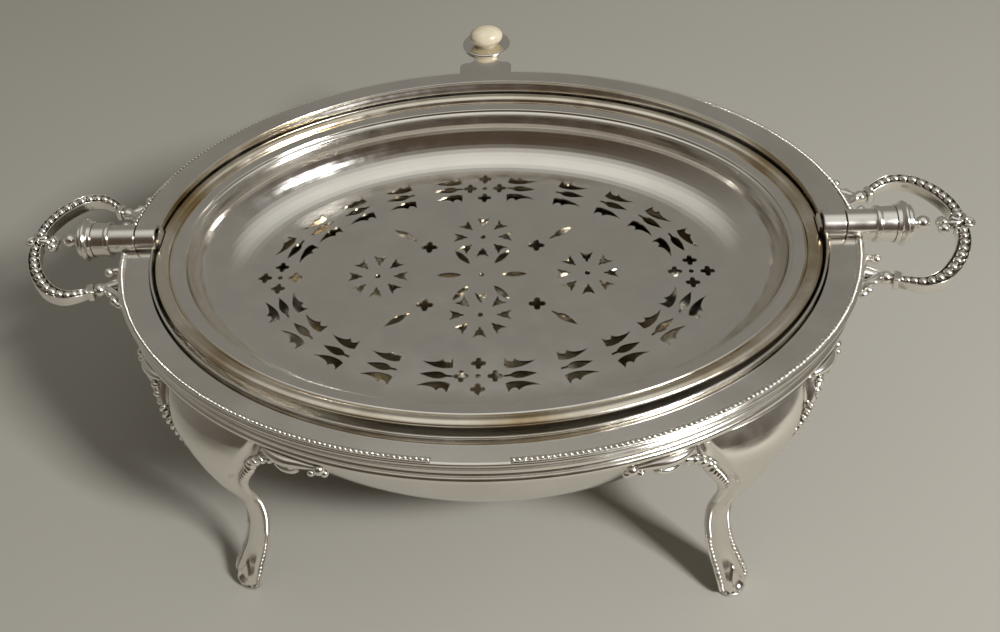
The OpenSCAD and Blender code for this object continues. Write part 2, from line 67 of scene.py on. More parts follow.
# Sizes and places that follow from them
open_a, open_b = rim_a - 13.3, rim_b - 9.1
cover_a, cover_b = open_a - 0.7, open_b - 0.9
bowl_a, bowl_b = cover_a + 1.7, cover_b + 1.7
flange_z = -border_t / 2 - 0.5
under_z = flange_z - 1.2
low_z = under_z - moulding_h
table_z = -AXIS[2]
border_a, border_b = rim_a - 3.6, rim_b - 2.8
plate_r = 11.5
plate_y = rim_b + 21.3
tab_w, neck_w = 24.4, 11.0
notch_w = tab_w + 2.6
knuckle_in, knuckle_out = cover_a - cover_wall - 0.6, open_a + 6.2
barrel_in = knuckle_out + 0.4
barrel_r = knuckle_r + 0.2
barrel_step = barrel_in + 11
barrel_out = barrel_step + 7.4
liner_a, liner_b = cover_a - cover_wall - 0.5, rim_b - 16.9
drain_a, drain_b = liner_a - 6.4, liner_b - 6.2
floor_a, floor_b = drain_a - 30.1, drain_b - 26.6
liner_z = -1.0
drain_z = liner_z - 1.8
floor_low = drain_z - drain_depth - 1.9
band_a, band_b = floor_a - 11.5, floor_b - 9.8

# Fineness of the meshes: steps round an oval, level sections of a leg
OVAL_STEPS = 280
LEG_SECTIONS = 270


# Meshes

def new_object(name, points, faces, material, body, nodes=(), slot="silver_plate"):
    """A smooth mesh from points in millimetres from the hinge axis, riding on a body of the frame."""
    mesh = bpy.data.meshes.new(name)
    mesh.from_pydata(((np.asarray(points, float) + AXIS) * MM).tolist(), [], [list(f) for f in faces])
    mesh.validate()
    mesh.polygons.foreach_set("use_smooth", [True] * len(mesh.polygons))
    mesh.materials.append(material)
    piece = bpy.data.objects.new(name, mesh)
    bpy.context.scene.collection.objects.link(piece)
    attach(piece, body)
    if nodes:
        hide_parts(*nodes)
    return piece


def select_only(piece):
    """Makes a piece the active and only selected object, as Blender's operators need."""
    for other in bpy.context.selected_objects:
        other.select_set(False)
    bpy.context.view_layer.objects.active = piece
    piece.select_set(True)


def outward(piece, weld_gap=0.0):
    """Turns every face of a closed mesh outwards, once points within a gap in metres are joined."""
    select_only(piece)
    bpy.ops.object.mode_set(mode="EDIT")
    bpy.ops.mesh.select_all(action="SELECT")
    if weld_gap:
        bpy.ops.mesh.remove_doubles(threshold=weld_gap)
    bpy.ops.mesh.normals_make_consistent(inside=False)
    bpy.ops.object.mode_set(mode="OBJECT")
    piece.select_set(False)
    return piece


def mark_sharp(piece, degrees):
    """Edges that turn by more than an angle stay crisp."""
    select_only(piece)
    bpy.ops.object.shade_smooth_by_angle(angle=math.radians(degrees))
    piece.select_set(False)
    return piece


def cut(piece, cutter):
    """Takes a closed form away from a piece."""
    mesh = bpy.data.meshes.new("cutter")
    mesh.from_pydata(((np.asarray(cutter[0]) + AXIS) * MM).tolist(), [], cutter[1])
    tool = bpy.data.objects.new("cutter", mesh)
    bpy.context.scene.collection.objects.link(tool)
    outward(tool)
    modifier = piece.modifiers.new("cut", "BOOLEAN")
    modifier.operation = "DIFFERENCE"
    modifier.solver = "EXACT"
    modifier.object = tool
    select_only(piece)
    bpy.ops.object.modifier_apply(modifier="cut")
    piece.select_set(False)
    bpy.data.objects.remove(tool)


def joined(parts):
    """One list of points and one of faces from several."""
    points, faces, start = [], [], 0
    for p, f in parts:
        points.append(np.asarray(p, float))
        faces.extend([[i + start for i in face] for face in f])
        start += len(p)
    return np.vstack(points), faces


def rounded(loop, radius=0.3, steps=3, closed=True):
    """Rounds the corners of a section, whose points have its plane as their last two values."""
    loop = [np.asarray(p, float) for p in loop]
    m = len(loop)
    out = []
    for i, p in enumerate(loop):
        if not closed and i in (0, m - 1):
            out.append(p)
            continue
        before, after = loop[i - 1], loop[(i + 1) % m]
        to_b, to_a = before - p, after - p
        len_b, len_a = np.linalg.norm(to_b[-2:]), np.linalg.norm(to_a[-2:])
        if min(len_b, len_a) < 1e-6:
            out.append(p)
            continue
        r_b, r_a = min(radius, 0.42 * len_b), min(radius, 0.42 * len_a)
        start, end = p + to_b * r_b / len_b, p + to_a * r_a / len_a
        if len_b > 4 * r_b:
            out.append(p + to_b * 1.5 * r_b / len_b)
        for k in range(steps + 1):
            t = k / steps
            out.append(start * (1 - t) ** 2 + p * 2 * t * (1 - t) + end * t ** 2)
        if len_a > 4 * r_a:
            out.append(p + to_a * 1.5 * r_a / len_a)
    return out


def grid_faces(rows, columns, wrap_rows=False, wrap_columns=False):
    """Quads between rows of points."""
    faces = []
    for i in range(rows if wrap_rows else rows - 1):
        for j in range(columns if wrap_columns else columns - 1):
            i2, j2 = (i + 1) % rows, (j + 1) % columns
            faces.append((i * columns + j, i2 * columns + j, i2 * columns + j2, i * columns + j2))
    return faces


def oval_skin(loop, n=OVAL_STEPS, closed=True):
    """Skin round the Z axis through a section whose points are (half length, half width, height)."""
    loop = np.array(loop, float)
    q = np.linspace(0, 2 * math.pi, n, endpoint=False)
    points = np.stack([np.outer(loop[:, 0], np.cos(q)), np.outer(loop[:, 1], np.sin(q)),
                       np.repeat(loop[:, 2:], n, axis=1)], axis=-1).reshape(-1, 3)
    return points, grid_faces(len(loop), n, wrap_rows=closed, wrap_columns=True)


def half_skin(loop, cuts, n=200):
    """As oval_skin, for the rear half only: each point of the section starts and ends at its own cut y."""
    loop = np.array(loop, float)
    rows = []
    for (a, b, z), cut in zip(loop, cuts):
        q0 = math.asin(min(1, cut / b))
        q = np.linspace(q0, math.pi - q0, n)
        rows.append(np.stack([a * np.cos(q), b * np.sin(q), np.full(n, z)], axis=-1))
    m = len(loop)
    faces = grid_faces(m, n, wrap_rows=True)
    faces.append([i * n for i in range(m)])
    faces.append([i * n + n - 1 for i in range(m - 1, -1, -1)])
    return np.array(rows).reshape(-1, 3), faces


def lathe_x(profile, side, n=96):
    """Turned piece along the hinge: the profile's points are (radius, distance from the middle)."""
    q = np.linspace(0, 2 * math.pi, n, endpoint=False)
    rows = [np.stack([np.full(n, side * x), r * np.cos(q), r * np.sin(q)], axis=-1) for r, x in profile]
    return np.array(rows).reshape(-1, 3), grid_faces(len(profile), n, wrap_columns=True)


def lathe_z(profile, centre, stretch=(1, 1), n=96):
    """Turned piece on an upright axis: the profile's points are (radius, height)."""
    q = np.linspace(0, 2 * math.pi, n, endpoint=False)
    rows = [np.stack([centre[0] + r * stretch[0] * np.cos(q), centre[1] + r * stretch[1] * np.sin(q),
                      np.full(n, centre[2] + z)], axis=-1) for r, z in profile]
    return np.array(rows).reshape(-1, 3), grid_faces(len(profile), n, wrap_columns=True)


def run_along(points):
    """Distance of each point of a path from its start."""
    steps = np.linalg.norm(np.diff(points[:, :3], axis=0), axis=1)
    return np.concatenate([[0], np.cumsum(steps)])


def curve_through(points, n):
    """Evenly spaced points, with any further columns, on a smooth curve through a few points."""
    p = np.asarray(points, float)
    m = len(p)
    fine = []
    for i in range(m - 1):
        a, b, c, d = p[max(i - 1, 0)], p[i], p[i + 1], p[min(i + 2, m - 1)]
        for t in np.linspace(0, 1, 24, endpoint=False):
            fine.append(0.5 * (2 * b + (c - a) * t + (2 * a - 5 * b + 4 * c - d) * t * t
                               + (3 * b - a - 3 * c + d) * t ** 3))
    fine.append(p[-1])
    fine = np.array(fine)
    s = run_along(fine)
    even = np.linspace(0, s[-1], n)
    return np.stack([np.interp(even, s, fine[:, k]) for k in range(p.shape[1])], axis=-1)


def sweep(path, section, up=(0, 0, 1)):
    """Section (across, up) swept along a path of (x, y, z, half width, half height), with closed ends."""
    path = np.asarray(path, float)
    section = np.asarray(section, float)
    m, n = len(path), len(section)
    up = np.asarray(up, float)
    rows = []
    for i in range(m):
        heading = path[min(i + 1, m - 1), :3] - path[max(i - 1, 0), :3]
        heading /= np.linalg.norm(heading)
        across = np.cross(heading, up)
        across /= np.linalg.norm(across)
        above = np.cross(across, heading)
        rows.append(path[i, :3] + np.outer(section[:, 0] * path[i, 3], across)
                    + np.outer(section[:, 1] * path[i, 4], above))
    faces = grid_faces(m, n, wrap_columns=True)
    faces += [list(range(n)), [(m - 1) * n + j for j in range(n - 1, -1, -1)]]
    return np.array(rows).reshape(-1, 3), faces


def round_section(n):
    """Section of a round wire."""
    return [(math.cos(q), math.sin(q)) for q in np.linspace(0, 2 * math.pi, n, endpoint=False)]


def arc(cx, cy, r, start, end, n):
    """Points of an arc between two angles in degrees."""
    return [(cx + r * math.cos(t), cy + r * math.sin(t)) for t in np.radians(np.linspace(start, end, n))]


def ball(centre, radii, rings=10, n=16):
    """Ball or egg, with its poles up and down."""
    rx, ry, rz = radii
    points = [(0, 0, rz)]
    for i in range(1, rings):
        t = math.pi * i / rings
        for j in range(n):
            q = 2 * math.pi * j / n
            points.append((rx * math.sin(t) * math.cos(q), ry * math.sin(t) * math.sin(q),
                           rz * math.cos(t)))
    points.append((0, 0, -rz))
    faces = [(0, 1 + j, 1 + (j + 1) % n) for j in range(n)]
    for i in range(rings - 2):
        for j in range(n):
            a, b = 1 + i * n + j, 1 + i * n + (j + 1) % n
            faces.append((a, a + n, b + n, b))
    last = len(points) - 1
    faces += [(last, last - n + (j + 1) % n, last - n + j) for j in range(n)]
    return np.array(points) + np.asarray(centre, float), faces


def strung(path, up=(0, 0, 1), lean=0.0, squeeze=1.0, reach=1.0, pitch=1.92, rings=6, n=10):
    """Beads strung along a path of (x, y, z, radius). squeeze and reach stretch them along it and
    across it, and lean turns them about the way up, as the strands of a rope."""
    fine = curve_through(path, 300)
    s = run_along(fine)
    parts, at = [], fine[0, 3] * squeeze
    while at < s[-1]:
        here = np.array([np.interp(at, s, fine[:, k]) for k in range(4)])
        ahead = np.array([np.interp(at + 0.2, s, fine[:, k]) for k in range(3)])
        behind = np.array([np.interp(at - 0.2, s, fine[:, k]) for k in range(3)])
        along = (ahead - behind) / np.linalg.norm(ahead - behind)
        across = np.cross(along, up)
        across /= np.linalg.norm(across)
        above = np.cross(across, along)
        turned = math.cos(lean) * along + math.sin(lean) * across
        beside = math.cos(lean) * across - math.sin(lean) * along
        r = here[3]
        points, faces = ball((0, 0, 0), (r * squeeze, r * reach, r), rings, n)
        parts.append((points @ np.array([turned, beside, above]) + here[:3], faces))
        at += pitch * r * squeeze / math.cos(lean)
    return parts


def mirrored(part, sx=1, sy=1):
    """A part with its X or Y turned round, its faces still outwards."""
    points, faces = part
    points = np.asarray(points, float) * (sx, sy, 1)
    if sx * sy < 0:
        faces = [list(reversed(f)) for f in faces]
    return points, faces


def oval_steps(a, b, pitch, keep):
    """Points a pitch apart along an oval, those that keep(x, y) allows."""
    q = np.linspace(0, 2 * math.pi, 20001)
    x, y = a * np.cos(q), b * np.sin(q)
    s = np.concatenate([[0], np.cumsum(np.hypot(np.diff(x), np.diff(y)))])
    count = round(s[-1] / pitch)
    t = np.interp((np.arange(count) + 0.5) * s[-1] / count, s, q)
    spots = [(a * math.cos(v), b * math.sin(v)) for v in t]
    return [spot for spot in spots if keep(*spot)]


# Materials

def silver(name, colour=(0.93, 0.9, 0.84), rough=0.13, wave=0.0, scratch=0.0, tarnish=0.0,
           tarnish_colour=(0.5, 0.4, 0.24), crevice_polish_and_shade=0.0):
    """Worn silver plate. wave is the sheet's slow unevenness, scratch its fine wear, tarnish its patchy
    yellowing, and the hollow darkening is the dark polish left in hollows together with painted shade
    there."""
    material = bpy.data.materials.new(name)
    material.use_nodes = True
    nodes, links = material.node_tree.nodes, material.node_tree.links
    shader = nodes["Principled BSDF"]
    shader.inputs["Metallic"].default_value = 1.0
    place = nodes.new("ShaderNodeTexCoord")

    def noise(scale, detail, kind="Object"):
        node = nodes.new("ShaderNodeTexNoise")
        node.inputs["Scale"].default_value = scale
        node.inputs["Detail"].default_value = detail
        links.new(place.outputs[kind], node.inputs["Vector"])
        return node.outputs["Fac"]

    def spread(value, low, high, to_low, to_high):
        node = nodes.new("ShaderNodeMapRange")
        for key, number in (("From Min", low), ("From Max", high), ("To Min", to_low), ("To Max", to_high)):
            node.inputs[key].default_value = number
        links.new(value, node.inputs["Value"])
        return node.outputs["Result"]

    def mix(factor, first, second):
        node = nodes.new("ShaderNodeMix")
        node.data_type = "RGBA"
        links.new(factor, node.inputs["Factor"])
        for socket, value in (("A", first), ("B", second)):
            target = [s for s in node.inputs if s.name == socket and s.type == "RGBA"][0]
            if isinstance(value, tuple):
                target.default_value = (*value, 1)
            else:
                links.new(value, target)
        return [s for s in node.outputs if s.type == "RGBA"][0]

    patches = spread(noise(45, 4), 0.35, 0.7, 0.0, 1.0)
    tone = mix(patches, colour, tuple(c * 0.93 for c in colour))
    if tarnish:
        stain = spread(noise(28, 5), 0.48, 0.72, 0.0, tarnish)
        tone = mix(stain, tone, tarnish_colour)
    # Painted shade and old polish: ambient occlusion darkens the hollows towards dark brown.
    if crevice_polish_and_shade:
        hollow = nodes.new("ShaderNodeAmbientOcclusion")
        hollow.inputs["Distance"].default_value = 0.0022
        hollow.samples = 8
        depth = spread(hollow.outputs["AO"], 0.25, 0.8, crevice_polish_and_shade, 0.0)
        tone = mix(depth, tone, (0.16, 0.135, 0.1))
    links.new(tone, shader.inputs["Base Color"])
    links.new(spread(noise(120, 6), 0.3, 0.75, rough * 0.75, rough * 1.5), shader.inputs["Roughness"])

    bump = None
    for strength, scale, detail, distance in ((wave, 16, 1.5, 0.0012), (scratch, 900, 3, 0.00004)):
        if strength:
            node = nodes.new("ShaderNodeBump")
            node.inputs["Strength"].default_value = strength
            node.inputs["Distance"].default_value = distance
            links.new(noise(scale, detail), node.inputs["Height"])
            if bump:
                links.new(bump, node.inputs["Normal"])
            bump = node.outputs["Normal"]
    if bump:
        links.new(bump, shader.inputs["Normal"])
    return material


def ivory_material():
    """Old polished ivory with a faint grain."""
    material = bpy.data.materials.new("ivory")
    material.use_nodes = True
    nodes, links = material.node_tree.nodes, material.node_tree.links
    shader = nodes["Principled BSDF"]
    shader.inputs["Roughness"].default_value = 0.28
    shader.inputs["Subsurface Weight"].default_value = 0.15
    shader.inputs["Subsurface Radius"].default_value = (0.003, 0.002, 0.001)
    place = nodes.new("ShaderNodeTexCoord")
    stretch = nodes.new("ShaderNodeMapping")
    stretch.inputs["Scale"].default_value = (1, 5, 2)
    links.new(place.outputs["Object"], stretch.inputs["Vector"])
    grain = nodes.new("ShaderNodeTexNoise")
    grain.inputs["Scale"].default_value = 260
    grain.inputs["Detail"].default_value = 5
    links.new(stretch.outputs["Vector"], grain.inputs["Vector"])
    ramp = nodes.new("ShaderNodeValToRGB")
    ramp.color_ramp.elements[0].position = 0.3
    ramp.color_ramp.elements[0].color = (0.6, 0.52, 0.36, 1)
    ramp.color_ramp.elements[1].position = 0.7
    ramp.color_ramp.elements[1].color = (0.72, 0.65, 0.5, 1)
    links.new(grain.outputs["Fac"], ramp.inputs["Fac"])
    links.new(ramp.outputs["Color"], shader.inputs["Base Color"])
    return material


SHEET = silver("silver_sheet", rough=0.13, wave=0.16, scratch=0.25, tarnish=0.15)
DISH = silver("silver_dish", rough=0.12, wave=0.1, scratch=0.2, tarnish=0.05)
LINER = silver("silver_liner", (0.9, 0.84, 0.72), rough=0.16, wave=0.1, scratch=0.2, tarnish=0.9,
               tarnish_colour=(0.42, 0.29, 0.12))
COVER = silver("silver_cover", rough=0.18, wave=0.15, scratch=0.25, tarnish=0.5)
# The cast and turned silver carry painted shade, with old polish, in their hollows.
CAST = silver("silver_cast", rough=0.16, wave=0.05, scratch=0.3, crevice_polish_and_shade=0.9)
TURNED = silver("silver_turned", rough=0.16, scratch=0.2, crevice_polish_and_shade=0.6)
IVORY = ivory_material()


# Body

def egg_rows(a, b, top, n=56):
    """Section rows of an egg from a height down to its lowest point."""
    start = math.asin(-top / b)
    turns = np.linspace(start, math.pi / 2 - 0.004, n)
    return [(a * math.cos(t), b * math.cos(t), -b * math.sin(t)) for t in turns]


def make_bowl():
    """Half egg of one thickness."""
    outer = egg_rows(bowl_a, bowl_b, under_z)
    inner = egg_rows(bowl_a - bowl_wall, bowl_b - bowl_wall, under_z)
    return new_object("bowl_sheet", *oval_skin(outer + inner[::-1]), SHEET, "dish", ["bowl"])


def make_flange():
    """Flat ring, cut on both sides for the knuckles and barrels."""
    f = (rim_a - open_a) / (rim_b - open_b)

    def at(b, z):
        return (open_a + (b - open_b) * f, b, z)

    loop = rounded([at(open_b, flange_z), at(rim_b - 0.9, flange_z), at(rim_b - 0.15, flange_z - 0.45),
                    at(rim_b, under_z), at(open_b, under_z)], 0.35, 4)
    cuts = [knuckle_r + 0.5 if p[0] < barrel_in else barrel_r - 0.3 for p in loop]
    rear = half_skin(loop, cuts)
    ring = joined([rear, mirrored(rear, 1, -1)])
    return outward(new_object("flange", *ring, SHEET, "dish", ["rim_flange"]))


def make_moulding():
    """Fillet under the rim, deep hollow, quirk and half-round foot."""
    outline = [(rim_b - inset, under_z - drop) for inset, drop in (
        (4.6, 0), (0.5, 0), (0.2, 0.4), (0.6, 0.9), (1.8, 1.6), (2.5, 2.6), (1.9, 3.2), (1.3, 3.5),
        (1.3, 4), (2.4, 4.6), (3.3, 5.7), (3.5, 6.9), (3.1, 7.9), (2.5, 8.4))]
    outline += arc(rim_b - 2.7, low_z + 1.8, 1.8, 74, -90, 15) + [(rim_b - 4.6, low_z)]
    loop = rounded([(rim_a / rim_b * b, b, z) for b, z in outline], 0.22, 3)
    return outward(new_object("moulding", *oval_skin(loop), SHEET, "dish", ["rim_moulding"]))


def make_beads():
    """Row of beads on a low fillet, open at the notches and the barrels."""
    wire_b = rim_b - 0.45 - bead_w / 2
    wire_a = rim_a / rim_b * wire_b
    bead_z = flange_z + 0.45

    def keep(x, y):
        return abs(x) > notch_w / 2 + 0.6 and abs(y) > barrel_r + 1.2

    parts = [ball((x, y, bead_z), (bead_r, bead_r, bead_r), 8, 14)
             for x, y in oval_steps(wire_a, wire_b, bead_pitch, keep)]
    fillet = rounded([(rim_a / rim_b * b, b, z) for b, z in (
        (wire_b - 1.15, flange_z - 0.1), (wire_b - 1.1, bead_z), (wire_b - 0.6, flange_z + 0.6),
        (wire_b + 0.7, flange_z + 0.35), (wire_b + 1.15, flange_z - 0.1))], 0.15, 2)
    q_pivot = math.asin((barrel_r + 0.6) / wire_b)
    q_notch = math.acos(notch_w / 2 / wire_a)
    q = np.linspace(q_pivot, q_notch, 90)
    rows = [np.stack([a * np.cos(q), b * np.sin(q), np.full(len(q), z)], axis=-1) for a, b, z in fillet]
    m, n = len(fillet), len(q)
    faces = grid_faces(m, n, wrap_rows=True)
    faces += [[i * n for i in range(m)], [i * n + n - 1 for i in range(m - 1, -1, -1)]]
    quarter = (np.array(rows).reshape(-1, 3), faces)
    parts += [mirrored(quarter, sx, sy) for sx in (1, -1) for sy in (1, -1)]
    return outward(new_object("beads", *joined(parts), CAST, "dish", ["bead_border"]))


# Inner dishes

def make_liner():
    """Deep dish with a broad rolled rim, a seat for the drainer and a notch at each knuckle."""
    t, a, b, z = sheet_t, liner_a, liner_b, liner_z
    low, seat, under = liner_z - liner_depth, drain_z - sheet_t, liner_z - 1.6 - sheet_t
    roll = [(2.6 - 2.6 * math.cos(v), 1.7 * math.sin(v) - 1.7) for v in np.radians(np.linspace(8, 165, 14))]
    loop = [(a - d, b - d, z + h) for d, h in roll]
    loop += [(a - 5.5, b - 5.4, z - 1.6), (a - 5.8, b - 5.6, seat), (a - 10, b - 10, seat - 0.2)]
    q = np.radians(np.arange(9, 91, 9))
    loop += [(a - 10 - 26 * (1 - math.cos(v)), b - 10 - 26 * (1 - math.cos(v)),
              seat + (low + t - seat) * math.sin(v)) for v in q]
    loop += [(0.05, 0.04, low + t), (0.05, 0.04, low), (a - 36, b - 36, low)]
    loop += [(a - 10 + t - 26 * (1 - math.cos(v)), b - 10 + t - 26 * (1 - math.cos(v)),
              seat - t + (low - seat + t) * math.sin(v)) for v in q[::-1][1:]]
    loop += [(a - 9.2, b - 9.2, seat - t), (a - 5.8 + t, b - 5.6 + t, seat - t),
             (a - 5.5 + t, b - 5.4 + t, under), (a - 0.6, b - 0.6, under)]
    skin = oval_skin(rounded(loop, 0.3, 2))
    piece = outward(new_object("liner", *skin, LINER, "dish", ["liner_dish"]))
    notch = knuckle_r + 0.6
    corners = [(x, y, z) for x in (a - 1.9, a + 3) for y in (-notch, notch) for z in (-8, 3)]
    box = [(0, 1, 3, 2), (4, 6, 7, 5), (0, 4, 5, 1), (2, 3, 7, 6), (0, 2, 6, 4), (1, 5, 7, 3)]
    cut(piece, joined([(np.array([(s * x, y, z) for x, y, z in corners]), box) for s in (1, -1)]))
    return mark_sharp(piece, 40)


def leaf(length, width, n=10):
    """Pointed oval from the origin along +X."""
    r = (length ** 2 / 4 + width ** 2 / 4) / width
    half = math.asin(length / 2 / r)
    q = np.linspace(-half, half, n)
    top = [(length / 2 + r * math.sin(v), width / 2 - r + r * math.cos(v)) for v in q]
    return top[::-1] + [(x, -y) for x, y in top[1:-1]]


def barbed_leaf(length, width):
    """Border leaf from its blunt end along +X: one side smooth, the other with two barbs."""
    outline = [(0, 0.36), (0.16, 0.5), (0.36, 0.5), (0.56, 0.36), (0.78, 0.06), (1, -0.36),
               (0.8, -0.22), (0.56, -0.26), (0.44, -0.4), (0.35, -0.66), (0.31, -0.4), (0.25, -0.26),
               (0.17, -0.3), (0.1, -0.44), (0.04, -0.76)]
    return [(x * length, y * width) for x, y in outline]


def stalked_leaf(length, width):
    """Leaf with its stalk at the origin and its point along +X."""
    half = [(0, 0.12), (0.2, 0.15), (0.27, 0.34), (0.38, 0.48), (0.52, 0.5), (0.68, 0.38), (0.85, 0.18)]
    return ([(x * length, -y * width) for x, y in half] + [(length, 0)]
            + [(x * length, y * width) for x, y in half[::-1]])


def quatrefoil(r):
    """Four round lobes about the origin."""
    lobe = arc(r * 0.62, 0, r * 0.36, -115, 115, 9)
    return [point for k in range(4) for point in placed(lobe, turn=90 * k)]


def fleur(length):
    """Three-lobed cut of a rosette, pointing outwards along +X."""
    half = [(0, 0.06), (0.26, 0.11), (0.34, 0.24), (0.5, 0.27), (0.68, 0.33), (0.98, 0.46), (0.84, 0.24),
            (0.74, 0.12)]
    return ([(x * length, y * length) for x, y in half] + [(length * 0.8, 0)]
            + [(x * length, -y * length) for x, y in reversed(half)])


def dot(r, n=14):
    """Small round hole."""
    return [(r * math.cos(2 * math.pi * k / n), r * math.sin(2 * math.pi * k / n)) for k in range(n)]


def placed(outline, x=0.0, y=0.0, turn=0.0):
    """An outline turned by an angle in degrees and moved to a place."""
    c, s = math.cos(math.radians(turn)), math.sin(math.radians(turn))
    return [(x + px * c - py * s, y + px * s + py * c) for px, py in outline]


def on_circle(outline, x, y, r, turn):
    """An outline on a circle about (x, y), pointing away from its middle."""
    q = math.radians(turn)
    return placed(outline, x + r * math.cos(q), y + r * math.sin(q), turn)


def rosette(x, y, r):
    """A dot with eight fleurs round it."""
    return [placed(dot(r * 0.09), x, y)] + [on_circle(fleur(r * 0.47), x, y, r * 0.53, 45 * k)
                                            for k in range(8)]


def floor_cuts():
    """Every cut of the pierced floor, as outlines on the floor."""
    cuts = [dot(1)]
    for s in (-1, 1):
        cuts += rosette(s * 44, 0, rosette_r) + rosette(0, s * 23.6, rosette_r)
        for x, y in ((s * band_a, 0), (0, s * band_b)):
            cuts.append(placed(dot(1.05), x, y))
            cuts += [on_circle(quatrefoil(3.05), x, y, 6.6, q) for q in range(0, 360, 90)]
        half_turn = 0 if s > 0 else 180
        cuts += [on_circle(leaf(10.5, 3), 0, 0, 8.5, half_turn + q) for q in (-52, 0, 52)]
        for v in (-1, 1):
            cuts.append(placed(quatrefoil(3.6), s * 23, v * 17.6))
            cuts.append(on_circle(stalked_leaf(12.6, 3.4), s * 34, v * 25.8, -6.3, half_turn + s * v * 37))
    upper_leaf = [(x, -y) for x, y in barbed_leaf(13.2, 4.2)]
    group = [placed(stalked_leaf(13, 3.7), -6.6, 0.2), placed(upper_leaf, -6.4, 5.6, -3),
             placed(barbed_leaf(12.6, 4.2), -6, -5.8, 3)]
    for k in range(5):
        q = math.radians(79 - k * 15.2)
        turn = math.degrees(math.atan2(-band_b * math.cos(q), band_a * math.sin(q)))
        for outline in group:
            spot = placed(outline, band_a * math.cos(q), band_b * math.sin(q), turn)
            cuts += [[(sx * x, sy * y) for x, y in spot] for sx in (1, -1) for sy in (1, -1)]
    return cuts


def pierced_sheet(a, b, n, cuts):
    """Flat triangles that fill an oval and leave out the cuts."""
    points = [(a * math.cos(2 * math.pi * j / n), b * math.sin(2 * math.pi * j / n)) for j in range(n)]
    loops = [list(range(n))]
    for cut in cuts:
        area = sum(x1 * y2 - x2 * y1 for (x1, y1), (x2, y2) in zip(cut, cut[1:] + cut[:1]))
        cut = cut if area > 0 else cut[::-1]
        loops.append(list(range(len(points), len(points) + len(cut))))
        points += cut
    step = 4.0
    fill = [(x, y) for x in np.arange(-a, a, step) for y in np.arange(-b, b, step)
            if (x / a) ** 2 + (y / b) ** 2 < 0.94]
    points += fill
    verts, _, faces, _, _, owners = delaunay_2d_cdt([Vector(p) for p in points], [], loops, 1, 1e-5)
    kept = [f for f, own in zip(faces, owners) if not any(o > 0 for o in own)]
    return [(v.x, v.y) for v in verts], kept


def make_drainer():
    """Dish with a stepped rim, a curved wall and a pierced floor."""
    t, a, b, z = sheet_t, drain_a, drain_b, drain_z
    low = floor_low
    wall_a, wall_b, wall_z = a - 5.9, b - 6.9, z - 2.2

    def wall(v, lift):
        f = 1 - math.cos(v) ** 0.9
        return (wall_a + lift - (wall_a - floor_a) * f, wall_b + lift - (wall_b - floor_b) * f,
                wall_z - lift + (low + t - wall_z) * math.sin(v))

    q = np.radians(np.arange(6, 85, 6))
    top = [(a, b, z - 0.3), (a - 0.5, b - 0.5, z), (a - 4.4, b - 4.9, z - 0.3), (a - 4.7, b - 5.3, z - 1.2),
           (a - 5.3, b - 6, z - 1.4), (wall_a, wall_b, wall_z)]
    top += [wall(v, 0) for v in q] + [(floor_a, floor_b, low + t)]
    under = [(floor_a, floor_b, low)] + [wall(v, t) for v in q[::-1]]
    under += [(a - 5, b - 5.8, z - t - 0.9), (a - 3.4, b - 3.4, z - t), (a - 0.2, b - 0.2, z - t)]
    section = rounded(under + top, 0.3, 3, closed=False)
    section[0], section[-1] = np.array(under[0], float), np.array(top[-1], float)
    skin = oval_skin(section, closed=False)
    flat, faces = pierced_sheet(floor_a, floor_b, OVAL_STEPS, floor_cuts())
    upper = (np.array([(x, y, low + t) for x, y in flat]), faces)
    lower = (np.array([(x, y, low) for x, y in flat]), [list(reversed(f)) for f in faces])
    sides = {(p, r): True for f in faces for p, r in zip(f, list(f[1:]) + [f[0]])}
    rim = [(x / floor_a) ** 2 + (y / floor_b) ** 2 > 0.9999 for x, y in flat]
    hole_sides = [(p, r) for p, r in sides if (r, p) not in sides and not (rim[p] and rim[r])]
    m = len(flat)
    hole_walls = (np.vstack([upper[0], lower[0]]), [(p, r, r + m, p + m) for p, r in hole_sides])
    whole = joined([skin, upper, lower, hole_walls])
    piece = outward(new_object("drainer", *whole, DISH, "dish", ["pierced_drainer"]), weld_gap=2e-6)
    return mark_sharp(piece, 40)


# Legs

leg_turn = math.radians(56)
leg_place = 46.5
foot = np.array([rim_a * 0.68, rim_b * 0.808])
leg_out = np.array([math.cos(leg_turn), math.sin(leg_turn)])
leg_across = np.array([-math.sin(leg_turn), math.cos(leg_turn)])


def leg_point(s, w, h):
    """Point of the rear right leg: s outwards from the foot, w across, h over the table."""
    x, y = foot + s * leg_out + w * leg_across
    return (x, y, table_z + h)


